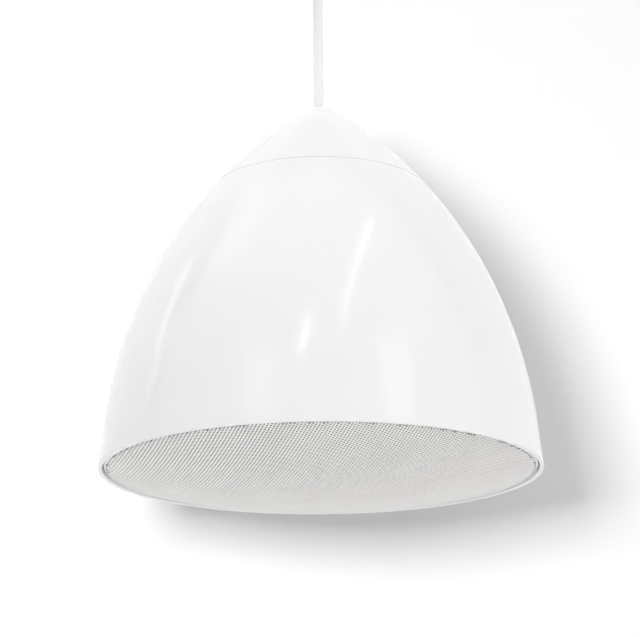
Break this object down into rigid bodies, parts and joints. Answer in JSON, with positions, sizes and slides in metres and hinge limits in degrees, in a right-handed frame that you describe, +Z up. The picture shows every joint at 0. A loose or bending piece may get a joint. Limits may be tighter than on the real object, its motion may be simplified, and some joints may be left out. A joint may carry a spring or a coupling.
{
  "type": "pendant speaker",
  "caption": "Bell-shaped pendant speaker with a sliding top cap, a domed perforated grille and a coaxial driver, hung on a taut cord from a ceiling fitting.",
  "frame": {"origin": "centre of the flat upper face of the ceiling bracket, which meets the ceiling", "axes": "+Z up, out of the ceiling face; the speaker hangs down along -Z; +Y points away from the viewer of the picture"},
  "size_m": [0.307, 0.3068, 0.4239],
  "materials": {
    "white_shell": "glossy white moulded ABS",
    "white_steel": "satin white powder coat on perforated sheet",
    "white_fitting": "satin white paint",
    "white_cord": "satin white cable jacket",
    "grey_cloth": "thin grey acoustic cloth",
    "white_knob": "matt white",
    "black_plastic": "black moulded plastic",
    "black_steel": "black paint on pressed steel",
    "black_foam": "black closed-cell foam",
    "black_rubber": "black butyl rubber",
    "grey_cone": "dark grey coated paper pulp",
    "silk": "coated silk dome",
    "spider_cloth": "resin-treated woven cloth",
    "copper": "lacquered copper wire",
    "ferrite": "dark grey sintered ferrite",
    "zinc_steel": "bright zinc plate",
    "bright_steel": "nickel plate",
    "grey_wadding": "off-white polyester wadding",
    "red_wire": "red wire insulation",
    "conductor_skin": "brown wire insulation",
    "green_plastic": "green moulded connector",
    "core_steel": "varnished laminations",
    "winding_tape": "yellow polyester tape",
    "green_board": "green solder mask",
    "blue_film": "blue capacitor sleeve",
    "cement": "off-white cement"
  },
  "bodies": {
    "root": {"enclosure": "white_shell", "grille": "white_steel", "grille_cloth": "grey_cloth", "baffle": "black_plastic", "baffle_gasket": "black_foam", "baffle_screws": "zinc_steel", "port_tube_left": "black_plastic", "port_tube_right": "black_plastic", "driver_basket": "black_steel", "driver_gasket": "black_foam", "driver_screws": "zinc_steel", "surround": "black_rubber", "spider": "spider_cloth", "front_plate": "zinc_steel", "driver_magnet": "ferrite", "pole_piece": "zinc_steel", "driver_terminals": "black_plastic", "tweeter_post": "bright_steel", "tweeter_housing": "black_plastic", "tweeter_magnet": "bright_steel", "tweeter_dome": "silk", "tweeter_ring": "black_plastic", "wadding": "grey_wadding", "driver_wires": "red_wire", "terminal_plate": "black_plastic", "plate_gasket": "black_foam", "plate_screws": "zinc_steel", "socket": "green_plastic", "plug": "green_plastic", "plug_screws": "bright_steel", "tap_switch": "black_plastic", "tap_switch_nut": "zinc_steel", "transformer_core": "core_steel", "transformer_winding": "winding_tape", "transformer_strap": "zinc_steel", "transformer_screws": "zinc_steel", "circuit_board": "green_board", "board_posts": "zinc_steel", "board_screws": "zinc_steel", "woofer_inductor": "copper", "capacitors": "blue_film", "resistor": "cement", "hanger_yoke": "zinc_steel", "hanger_screws": "zinc_steel", "cord_grip": "bright_steel", "cord_grip_nut": "bright_steel", "cord_grip_locknut": "zinc_steel", "cord_conductors": "conductor_skin", "cord": "white_cord", "ceiling_grip": "white_fitting", "ceiling_canopy": "white_fitting", "ceiling_nipple": "zinc_steel", "ceiling_bracket": "zinc_steel"},
    "cap": {"top_cap": "white_shell"},
    "diaphragm": {"cone": "grey_cone", "voice_coil_former": "spider_cloth", "voice_coil_winding": "copper"},
    "selector": {"tap_shaft": "bright_steel", "tap_knob": "white_knob"}
  },
  "joints": [
    {"name": "cap_slide", "type": "slide", "parent": "root", "child": "cap", "axis": [0, 0, 1], "range_m": [0, 0.06]},
    {"name": "cone_travel", "type": "slide", "parent": "root", "child": "diaphragm", "axis": [0, 0, 1], "range_m": [-0.004, 0.004], "stiffness_N_per_m": 1500, "deforming": ["surround", "spider"]},
    {"name": "tap_turn", "type": "hinge", "parent": "root", "child": "selector", "pos_m": [-0.03, 0, -0.1914], "axis": [0, 0, 1], "range_deg": [0, 150]}
  ]
}
